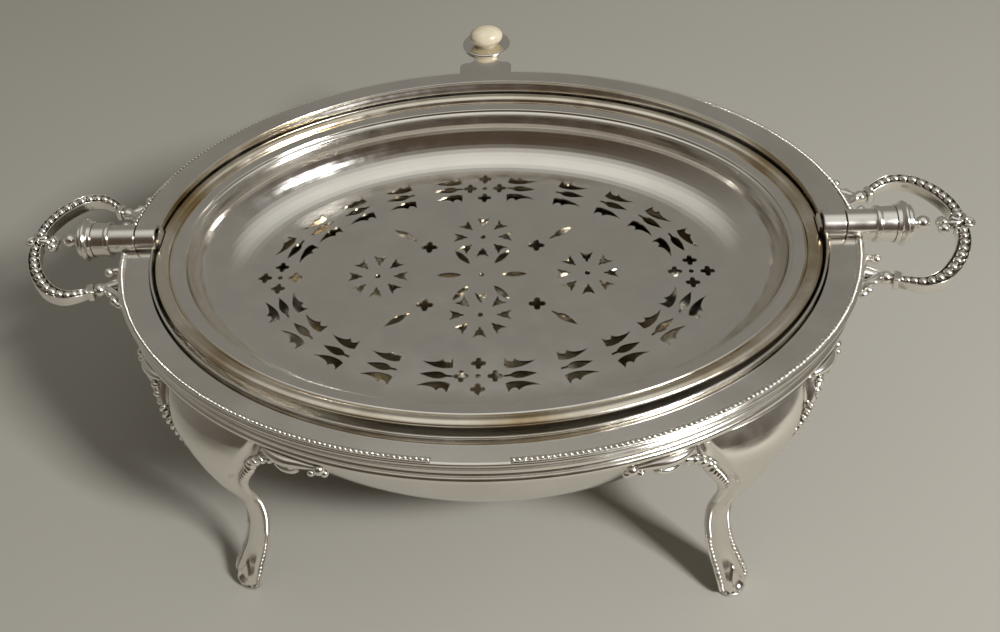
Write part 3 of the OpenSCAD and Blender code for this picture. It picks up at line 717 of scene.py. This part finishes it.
# Level sections from the table up: height, outer side, half width and crown of the outer face, how far the
# roped edge stands beyond and behind the face's edge, radius of the rope, depth of the back, sideways
LEG = [(0, 0.8, 2.6, 0.8, 0.9, 2.2, 1, 0.4, 1), (1.5, 2.2, 3.6, 1, 1.1, 2.2, 1.1, 0.4, 1),
       (4, 2.6, 4.4, 1.1, 1.4, 2, 1.1, 0.4, 1), (8, 1.2, 4.4, 1.1, 1.5, 2, 1.1, 0.4, 1.1),
       (13, -1.8, 3.8, 1.2, 1.6, 2.2, 1.1, 0.4, 1.3), (21, -6.4, 3.1, 1.2, 1.8, 2.4, 1.2, 0.4, 1.7),
       (33, -9.8, 2.8, 1.2, 2.1, 2.4, 1.35, 0.4, 2), (45, -9.8, 2.9, 1.3, 2.5, 2.4, 1.45, 0.4, 1.8),
       (54, -7.4, 3.3, 1.3, 3, 2.6, 1.6, 0.4, 0.9), (61, -4.8, 3.8, 1.3, 3.9, 2.8, 1.75, 0.6, 0),
       (67, -3, 4.9, 1.3, 5, 3.2, 1.9, 1.2, -1), (73, -1.8, 7.6, 1.4, 5.4, 3.6, 2.1, 3, -2.4),
       (80, -1.2, 11.6, 1.8, 6.2, 3.4, 2.1, 7, -3.6), (87, -1.6, 15.8, 2.6, 7, 2.6, 2, 11, -4.6),
       (93, -4.4, 19.4, 3, 6.4, 1.6, 1.6, 12, -5), (98.5, -8.4, 22.4, 3, 4, 1.2, 1.2, 12, -5)]


def leg_steps(n):
    """The leg's sections, smoothly filled in."""
    keyed = [(out, 0, h, half, crown, beyond, behind, r, back, side)
             for h, out, half, crown, beyond, behind, r, back, side in LEG]
    return curve_through(keyed, n)


def relief(h, w):
    """The hollow drop on the toe in its raised edge: how far the face stands out."""
    drop_h, half_h, half_w, taper = 8.2, 3.9, 2.1, 0.42
    edge_height, hollow_depth = 0.8, 1.6
    up = (h - drop_h) / half_h
    d = math.hypot(up, w / (half_w * (1 - taper * max(-1, min(1.4, up)))))
    return edge_height * math.exp(-((d - 1.3) / 0.2) ** 2) - hollow_depth * math.sqrt(max(0.0, 1 - d * d))


def leg_rope(step, sign):
    """Middle of the roped edge on one side of a section: outwards, across, height."""
    out, _, h, half, crown, beyond, behind, *_, side = step
    return (out - crown - behind, side + sign * (half + beyond), h)


# Places across the face of a leg, as shares of its half width
FACE = np.linspace(-1, 1, 33)


def leg_body():
    """Face, edges and back of a leg, as level rings."""
    rows = []
    for step in leg_steps(LEG_SECTIONS):
        out, _, h, half, crown, beyond, behind, r, back, side = step
        ring = [(out - crown * f * f + relief(h, half * f), side + half * f, h) for f in FACE]
        wing = []
        for t in (0.06, 0.2, 0.35, 0.5, 0.65, 0.8):
            sag = (0.3 + 1.1 * min(1, max(0, (h - 40) / 40))) * math.sin(math.pi * t)
            wing.append((out - crown - behind * t - sag, half + beyond * t, h))
        bend = arc(half + beyond, out - crown - behind, 0.5 * r, 70, -110, 7)
        wing += [(outwards, across, h) for across, outwards in bend]
        wing.append((out - crown - behind - back - 0.5 * r, 0.55 * (half + beyond), h))
        ring += [(a, side + w, z) for a, w, z in wing]
        ring += [(a, side - w, z) for a, w, z in wing[::-1]]
        rows.append(ring)
    m, n = len(rows), len(rows[0])
    points = np.array([leg_point(*p) for row in rows for p in row])
    points[:, 2] = np.clip(points[:, 2], table_z, low_z)
    faces = grid_faces(m, n, wrap_columns=True)
    faces += [list(range(n)), [(m - 1) * n + j for j in range(n - 1, -1, -1)]]
    return points, faces


def under_rim(turn, e, drop):
    """Point under the rim: turn from the leg's middle, share of the rim's size, drop below the moulding."""
    q = math.radians(leg_place + turn)
    return (rim_a * e * math.cos(q), rim_b * e * math.sin(q), low_z - drop)


# Roped scroll that rises from the knee's edge, the smooth lobe over it, the curl under the lobe and the
# lobe's end balls, each as turn, share of the rim, drop and radius
ROPE_CURL = [(8.6, 0.995, 19, 2), (9.2, 1.004, 14.5, 2.1), (10.2, 1.01, 10, 2.2), (11.6, 1.008, 6.2, 2.2),
             (13, 1.002, 3.9, 2), (14.6, 0.996, 3.2, 1.7), (15.8, 0.99, 3.4, 1.3)]
LOBE = [(12.4, 0.985, 0.6, 1.4), (14.2, 0.994, 0.9, 2), (16.4, 0.996, 1.3, 2.3), (18.4, 0.99, 1.6, 2),
        (20, 0.986, 2, 1.4), (21.4, 0.982, 2.3, 1.2)]
CURL = [(14.6, 0.994, 4.8, 1.1), (15.8, 0.996, 6.3, 1.4), (17.2, 0.994, 6.2, 1.6), (18, 0.99, 4.8, 1.5),
        (17.4, 0.99, 3.8, 1.2)]
END_BALLS = [(21.6, 0.985, 2.6, 2.3), (20.6, 0.995, 4, 1.5), (22.4, 0.985, 4, 1.6), (17.2, 0.992, 4.4, 1.5)]


def make_leg(sx, sy, name, node):
    """Body, pearls round the toe, ropes along the edges and the scrolls under the rim."""
    parts = [leg_body()]
    steps = leg_steps(60)
    up = (*leg_out, 0)
    pearl_r, rim_r = 0.82, 0.5

    def edge(low, high, sign, r=None):
        return [(*leg_point(*leg_rope(s, sign)), r or s[7]) for s in steps if low < s[2] < high]

    for sign in (1, -1):
        toe = [(*leg_point(1.9 - 2 * (w / 4.6) ** 2, 1 + sign * w, 1.3), pearl_r)
               for w in (0.3, 1.6, 3, 4.2)]
        parts += strung(toe + edge(1.6, 27, sign, pearl_r), up, pitch=2.3)
        parts += strung(edge(26, 54, sign), up, lean=sign * 0.35, squeeze=0.42, pitch=2.2, n=12)
        parts += strung(edge(53, 90, sign), up, lean=sign * 0.5, squeeze=0.6, reach=1.25, n=12)
        rim = [leg_point(2.7 - 2 * (w / 5) ** 2, 1 + sign * w, 0.6) for w in (0, 1.6, 3.2, 4.6)]
        rim += [leg_point(*(np.array(leg_rope(s, sign)) + (-0.2, sign * 1.05, 0)))
                for s in steps if 1 < s[2] < 30]
        rim = [(*point, rim_r, rim_r) for point in rim]
        parts.append(sweep(curve_through(rim, 60), round_section(8)))
        for shape, r in ((ROPE_CURL, 0.7), (LOBE, 1), (CURL, 1)):
            path = [(*under_rim(sign * t, e, d), w * r, w * r) for t, e, d, w in shape]
            parts.append(sweep(curve_through(path, 36), round_section(16)))
        curl = [(*under_rim(sign * t, e, d), r) for t, e, d, r in ROPE_CURL]
        parts += strung(curl, lean=-sign * 0.5, squeeze=0.72, reach=1.1, n=12)
        parts += [ball(under_rim(sign * t, e, d), (r, r, r), 12, 18) for t, e, d, r in END_BALLS]
    points, faces = mirrored(joined(parts), sx, sy)
    points[:, 2] = np.clip(points[:, 2], table_z, low_z + 2)
    return outward(new_object(name, points, faces, CAST, "dish", [node]))


# Handles

socket = np.array([rim_a + 7.5, 24.5, -6.5])
socket_turn = math.radians(20)
arm_k = handle_reach / 40


def handle_arm():
    """Points of one arm from its socket to the outer scroll, with half width and half height. The steps
    are drawn for a reach of 40 and are scaled to handle_reach."""
    y = socket[1]
    steps = [(13.4, 3.6, -5, 2, 2.6), (20, 5.6, -4, 2.5, 3), (27.6, 3, -2.8, 2.8, 3.2),
             (34.2, -4.6, -1.8, 2.8, 3.3), (38.2, -13.2, -1.2, 2.6, 3.3), (39.6, -20, -0.8, 2.4, 3.2),
             (39.4, -23.4, -0.6, 2.2, 3.1)]
    return ([(rim_a + 7.9, y + 0.4, socket[2], 1.5, 2)]
            + [(rim_a + u * arm_k, y + v * (arm_k if v < 0 else 1), z, w, h) for u, v, z, w, h in steps])


def handle_curl(x, y, z, r, start, end, last, w, h):
    """Flat scroll about (x, y) that shrinks to a share of its size, between two angles in degrees."""
    turns = np.radians(np.linspace(start, end, 14))
    path = [(x + r[0] * math.cos(q) * f, y + r[1] * math.sin(q) * f, z, w * f, h * f)
            for q, f in zip(turns, np.linspace(1, last, 14))]
    return sweep(curve_through(path, 40), round_section(12))


def make_handle(side, name, node):
    """Two arms with a channel of beads between raised edges, and the double scroll where they meet."""
    path = curve_through(handle_arm(), 60)
    half = [(0.94, -0.9), (1, -0.3), (1, 0.3), (0.98, 0.56), (0.9, 0.64), (0.82, 0.56), (0.78, 0.34),
            (0, 0.24)]
    flat = half + [(-x, y) for x, y in half[-2::-1]] + [(-0.6, -1), (0.6, -1)]
    section = rounded(flat, 0.12, 2)
    beads = [(x, y, z + 0.42 * h, 0.68 * w) for x, y, z, w, h in path[2:]]
    arm = [sweep(path, section)] + strung(beads, rings=8, n=14)
    mouth = [(rim_a + 7.9 + d, socket[1] + 0.4 + 0.25 * d, socket[2], w, w)
             for d, w in ((-0.3, 2.5), (0.2, 2.7), (1.6, 2.6), (2.4, 2.2))]
    arm.append(sweep(mouth, rounded([(1, 1), (-1, 1), (-1, -1), (1, -1)], 0.2, 2)))
    parts = [mirrored(p, 1, k) for p in arm for k in (1, -1)]
    x = rim_a + 41.4 * arm_k
    parts += [handle_curl(x - 1.6, 2.9, 0.5, (3.1, 2.9), -150, 190, 0.45, 1.3, 1.5),
              handle_curl(x + 1.2, -1.6, 0.6, (2.7, 2.7), 170, -150, 0.5, 1.2, 1.4),
              ball((x - 1.6, 2.9, 1.2), (1.7, 1.7, 1.5), 10, 16),
              ball((x + 1.2, -1.6, 1.2), (1.4, 1.4, 1.3), 10, 16)]
    x = rim_a + 33.4 * arm_k
    for y, z, r in ((1.9, -1.6, 2.4), (-1.9, -1.6, 2.4), (0, 0, 1.7)):
        parts.append(ball((x, y, z), (r, r, r), 12, 18))
    stem = [(x, 0, -1.4, 1.8, 1.8), (x + 4, 0, -1.2, 2, 2.4), (x + 7.6, 0, -0.8, 2.2, 2.8)]
    parts.append(sweep(stem, round_section(12)))
    return outward(new_object(name, *mirrored(joined(parts), side), CAST, "dish", [node]))


def rim_x(y):
    """Where the rim's edge lies at a distance from the hinge line."""
    return rim_a * math.sqrt(1 - (y / rim_b) ** 2)


def make_brackets(side, name, node):
    """Socket of each arm: a swelling tube on a web along the rim, with a scroll at both ends."""
    along = np.array([math.cos(socket_turn), math.sin(socket_turn), 0])
    x, y, z = socket
    tube = [(*(socket - along * d), w, w) for d, w in
            ((-0.4, 1.7), (0.6, 2.1), (1.6, 2.7), (3, 2.8), (4.4, 2.2), (6, 2.2), (8, 2.6), (10.5, 3.2))]
    parts = [sweep(curve_through(tube, 24), round_section(20))]
    web = [(rim_x(y + 7) + 2.6, y + 7, z + 1, 1.1, 1.1), (rim_x(y + 8.4) + 1.2, y + 8.6, z + 0.6, 1.4, 1.4),
           (rim_x(y + 7) - 0.2, y + 7.4, z, 1.6, 1.7), (rim_x(y + 3) + 0.6, y + 3.4, z, 1.7, 2),
           (x - 5, y - 1.2, z, 2, 2.2), (rim_x(y - 5) + 0.8, y - 5.4, z, 1.8, 2),
           (rim_x(y - 9) - 0.2, y - 9.6, z, 1.7, 1.8), (rim_x(y - 11) + 1.2, y - 11.6, z + 0.4, 1.5, 1.5),
           (rim_x(y - 10) + 4, y - 10.6, z + 1, 1.3, 1.3)]
    parts.append(sweep(curve_through(web, 60), round_section(14)))
    parts += [ball((rim_x(y + 7) + 2.6, y + 6.8, z + 1), (1.8, 1.8, 1.8), 10, 16),
              ball((rim_x(y - 10) + 4.6, y - 10, z + 1), (2.1, 2.1, 2.1), 10, 16),
              ball((x - 7.2, y + 2.4, z + 0.6), (1.3, 1.3, 1.3), 8, 12)]
    parts = [mirrored(p, 1, k) for p in parts for k in (1, -1)]
    return outward(new_object(name, *mirrored(joined(parts), side), CAST, "dish", [node]))


# Pivots

def make_barrel(side, name, node):
    """Tube with a ring and a thicker outer end."""
    r, bore, step = barrel_r, pin_r + 0.1, barrel_step
    outline = [(bore, barrel_in), (r, barrel_in), (r, step), (r + 1.2, step), (r + 1.35, step + 0.9),
               (r + 1.2, step + 1.8), (r + 1, step + 1.9), (r + 1, barrel_out), (bore, barrel_out)]
    profile = rounded(outline, 0.25, 3, closed=False)
    return outward(new_object(name, *lathe_x(profile, side), TURNED, "dish", [node]))


def make_pin(side, name, node):
    """Shank, moulded head and ball finial."""
    head = barrel_out
    profile = [(0.01, knuckle_in - 1.5), (pin_r, knuckle_in - 1.5), (pin_r, head), (7.6, head),
               (7.7, head + 1.6), (8.3, head + 1.9)]
    profile += arc(8.1, head + 3.2, 0.9, -40, 90, 8) + [(7.4, head + 4.3), (7.4, head + 5.1)]
    profile += arc(6.2, head + 5.2, 1.2, 0, 90, 7)
    profile += [(3.4, head + 7), (1.7, head + 7.4), (1.6, head + 8.8)]
    profile += [(max(0.01, r), x) for r, x in arc(0, head + 11, 2.9, -57, 90, 18)]
    profile = rounded(profile, 0.15, 2, closed=False)
    return outward(new_object(name, *lathe_x(profile, side), TURNED, "dish", [node]))


# Cover

def make_cover():
    """Domed shell, cut where the knuckles are let in."""
    outer = egg_rows(cover_a, cover_b, 0)
    inner = egg_rows(cover_a - cover_wall, cover_b - cover_wall, 0)
    top = [(cover_a - cover_wall, cover_b - cover_wall, border_t / 2), (cover_a, cover_b, border_t / 2)]
    lip = [(cover_a - da, cover_b - db, z) for da, db, z in (
        (1, 1.9, -9.5), (1, 3.1, -7), (1, 3.3, -5.2), (0.9, 2.9, -3.4), (0.85, 2.1, -1.8),
        (0.8, 1.2, -0.6))]
    inner = [p for p in inner if p[2] < -11]
    loop = rounded(lip + top + outer[:1], 0.25, 3, closed=False)
    skin = oval_skin(inner[::-1] + list(loop[:-1]) + outer)
    piece = outward(new_object("cover_dome", *skin, COVER, "cover", ["cover_shell"]))
    seat = [(0.01, knuckle_in - 4), (knuckle_r, knuckle_in - 4), (knuckle_r, cover_a + 4),
            (0.01, cover_a + 4)]
    cut(piece, joined([lathe_x(seat, s, 64) for s in (1, -1)]))
    return mark_sharp(piece, 35)


def make_border():
    """Flat half ring with a rounded outer edge."""
    h = border_t / 2
    f = (border_a - cover_a) / (border_b - cover_b)

    def at(b, z):
        return (cover_a + (b - cover_b) * f, b, z)

    loop = rounded([at(cover_b - 0.4, h), at(border_b - 0.2, h), at(border_b, 0), at(border_b - 0.2, -h),
                    at(cover_b - 0.4, -h)], 0.3, 3)
    cuts = [border_end if p[0] > knuckle_out - 0.6 else knuckle_r for p in loop]
    return outward(new_object("border", *half_skin(loop, cuts), SHEET, "cover", ["cover_border"]))


def make_knuckle(side, name, node):
    """Tube that turns on the pin, hollowed at its inner end."""
    r, bore, hollow_end = knuckle_r, pin_r + 0.08, knuckle_in + 3.4
    profile = rounded([(bore, knuckle_out), (r, knuckle_out), (r, knuckle_in), (r - 1.2, knuckle_in),
                       (r - 1.2, hollow_end), (bore, hollow_end)], 0.25, 3, closed=False)
    return outward(new_object(name, *lathe_x(profile, side), TURNED, "cover", [node]))


def make_tab():
    """Flat tab that narrows to a neck, with the dished round plate at its end."""
    h = border_t / 2
    half = ([(tab_w / 2, border_b - 2.6)] + arc(tab_w / 2 - 3, border_b + 5, 3, 0, 90, 7)
            + arc(neck_w / 2 + 3.7, border_b + 11.7, 3.7, 255, 180, 7) + [(neck_w / 2, plate_y - 9.5)])
    outline = half + [(-x, y) for x, y in half[::-1]]
    n = len(outline)
    centre = np.array([0, border_b + 6])
    points = []
    for inset, z in ((0, -h), (0, h - 0.2), (0.2, h + 0.03)):
        for x, y in outline:
            d = np.array([x, y]) - centre
            d = d / np.linalg.norm(d)
            points.append((x - d[0] * inset, y - d[1] * inset, z))
    faces = grid_faces(3, n, wrap_columns=True)
    faces += [list(range(n - 1, -1, -1)), [2 * n + j for j in range(n)]]
    flat_part = (np.array(points), faces)
    r = plate_r
    profile = [(0.01, -h), (r - 0.4, -h), (r, 0), (r, h + 0.3), (r - 0.5, h + 0.7), (r - 1.2, h + 0.6),
               (r - 2.2, h + 0.05), (r - 4, h), (0.01, h)]
    plate = lathe_z(rounded(profile, 0.25, 3, closed=False), (0, plate_y, 0))
    piece = outward(new_object("tab", *joined([flat_part, plate]), SHEET, "cover", ["tab_plate"]))
    return mark_sharp(piece, 20)


def make_knob():
    """Oval turned knob on a short foot, narrower from front to back."""
    half_h = knob_h / 2
    profile = [(0.01, 0), (knob_len * 0.3, 0), (knob_len * 0.27, 0.8)]
    profile += [(knob_len / 2 * math.cos(t), half_h + half_h * math.sin(t))
                for t in np.radians(np.linspace(-52, 89, 30))]
    part = lathe_z(profile, (0, plate_y, border_t / 2), stretch=(1, 0.84))
    return outward(new_object("knob", *part, IVORY, "cover", ["ivory_knob"], slot="ivory"))


def paint_node(name, material):
    """Gives a solid of the frame its material."""
    surfaces = frame["nodes"][name].data.materials
    surfaces.clear()
    surfaces.append(material)


# Floor, lamp and camera

def make_floor():
    """Plain pale table top."""
    mesh = bpy.data.meshes.new("floor")
    d = 3.0
    mesh.from_pydata([(-d, -d, 0), (d, -d, 0), (d, d, 0), (-d, d, 0)], [], [(0, 1, 2, 3)])
    material = bpy.data.materials.new("floor")
    material.use_nodes = True
    nodes, links = material.node_tree.nodes, material.node_tree.links
    shader = nodes["Principled BSDF"]
    shader.inputs["Roughness"].default_value = 0.9
    shader.inputs["Specular IOR Level"].default_value = 0.1
    place = nodes.new("ShaderNodeTexCoord")
    cloud = nodes.new("ShaderNodeTexNoise")
    cloud.inputs["Scale"].default_value = 3
    links.new(place.outputs["Object"], cloud.inputs["Vector"])
    ramp = nodes.new("ShaderNodeValToRGB")
    ramp.color_ramp.elements[0].color = (0.34, 0.325, 0.285, 1)
    ramp.color_ramp.elements[1].color = (0.38, 0.365, 0.325, 1)
    links.new(cloud.outputs["Fac"], ramp.inputs["Fac"])
    links.new(ramp.outputs["Color"], shader.inputs["Base Color"])
    mesh.materials.append(material)
    floor = bpy.data.objects.new("floor", mesh)
    bpy.context.scene.collection.objects.link(floor)


def make_lamp(name, place, target, size, power):
    """Square lamp that shines from a place to a target, in metres."""
    lamp = bpy.data.lights.new(name, "AREA")
    lamp.shape = "SQUARE"
    lamp.size = size
    lamp.energy = power
    holder = bpy.data.objects.new(name, lamp)
    bpy.context.scene.collection.objects.link(holder)
    holder.location = place
    holder.rotation_euler = (Vector(target) - Vector(place)).to_track_quat("-Z", "Y").to_euler()


def make_world():
    """Even grey room under a paler ceiling, darker and browner behind the camera."""
    world = bpy.data.worlds.new("room")
    bpy.context.scene.world = world
    world.use_nodes = True
    nodes, links = world.node_tree.nodes, world.node_tree.links
    background = nodes["Background"]
    place = nodes.new("ShaderNodeTexCoord")
    parts = nodes.new("ShaderNodeSeparateXYZ")
    links.new(place.outputs["Generated"], parts.inputs["Vector"])

    def ramp(axis, low, high):
        turn = nodes.new("ShaderNodeMath")
        turn.operation = "MULTIPLY_ADD"
        turn.inputs[1].default_value = 0.5
        turn.inputs[2].default_value = 0.5
        links.new(parts.outputs[axis], turn.inputs[0])
        node = nodes.new("ShaderNodeValToRGB")
        for element, (at, colour) in zip(node.color_ramp.elements, (low, high)):
            element.position = at
            element.color = (*colour, 1)
        links.new(turn.outputs["Value"], node.inputs["Fac"])
        return node.outputs["Color"]

    room = ramp("Y", (0.1, (0.07, 0.05, 0.035)), (0.62, (0.215, 0.205, 0.185)))
    ceiling = ramp("Z", (0.87, (0, 0, 0)), (0.985, (0.5, 0.5, 0.48)))
    both = nodes.new("ShaderNodeMix")
    both.data_type = "RGBA"
    both.blend_type = "ADD"
    both.inputs["Factor"].default_value = 1
    colours = [socket for socket in both.inputs if socket.type == "RGBA"]
    links.new(room, colours[0])
    links.new(ceiling, colours[1])
    links.new([socket for socket in both.outputs if socket.type == "RGBA"][0], background.inputs["Color"])
    background.inputs["Strength"].default_value = 1.0


def make_camera():
    """The photograph's view: a turn to the right, a look down, a slight roll and an uneven crop."""
    azimuth, elevation, roll = (math.radians(v) for v in (8.94, 44.93, -7.13))
    distance, focal_px, picture_w, sensor = 433.0, 1133.8, 1000, 36
    target = np.array([-24.3, AXIS[1] - 42, AXIS[2]])
    back = np.array([math.sin(azimuth) * math.cos(elevation), -math.cos(azimuth) * math.cos(elevation),
                     math.sin(elevation)])
    right = np.array([math.cos(azimuth), math.sin(azimuth), 0])
    up = np.cross(back, right)
    across = math.cos(roll) * right + math.sin(roll) * up
    above = -math.sin(roll) * right + math.cos(roll) * up
    camera = bpy.data.cameras.new("camera")
    camera.sensor_width = sensor
    camera.lens = sensor * focal_px / picture_w
    camera.shift_x, camera.shift_y = 0.0875, -0.0095
    camera.clip_start = 0.01
    holder = bpy.data.objects.new("camera", camera)
    place = (target + distance * back) * MM
    columns = np.stack([across, above, back, place], axis=-1)
    holder.matrix_world = Matrix([*columns.tolist(), (0, 0, 0, 1)])
    bpy.context.scene.collection.objects.link(holder)
    bpy.context.scene.camera = holder


make_camera()
make_bowl()
make_flange()
make_moulding()
make_beads()
make_liner()
make_drainer()
for sx, x_name in ((-1, "left"), (1, "right")):
    for sy, y_name in ((-1, "front"), (1, "rear")):
        make_leg(sx, sy, f"leg_{y_name}_{x_name}_cast", f"leg_{y_name}_{x_name}")
    make_handle(sx, f"handle_{x_name}_cast", f"handle_{x_name}")
    make_brackets(sx, f"brackets_{x_name}_cast", f"handle_brackets_{x_name}")
    make_barrel(sx, f"barrel_{x_name}", f"pivot_barrel_{x_name}")
    make_pin(sx, f"pin_{x_name}", f"pivot_pin_{x_name}")
    make_knuckle(sx, f"knuckle_{x_name}_turned", f"knuckle_{x_name}")
    paint_node(f"liner_bracket_{x_name}", TURNED)
make_cover()
make_border()
make_tab()
make_knob()
paint_node("knob_rivet", TURNED)

make_floor()
make_world()
make_lamp("key", (0.92, -0.76, 1.08), (0, 0, 0.08), 0.28, 27)

scene = bpy.context.scene
scene.view_settings.view_transform = "Standard"
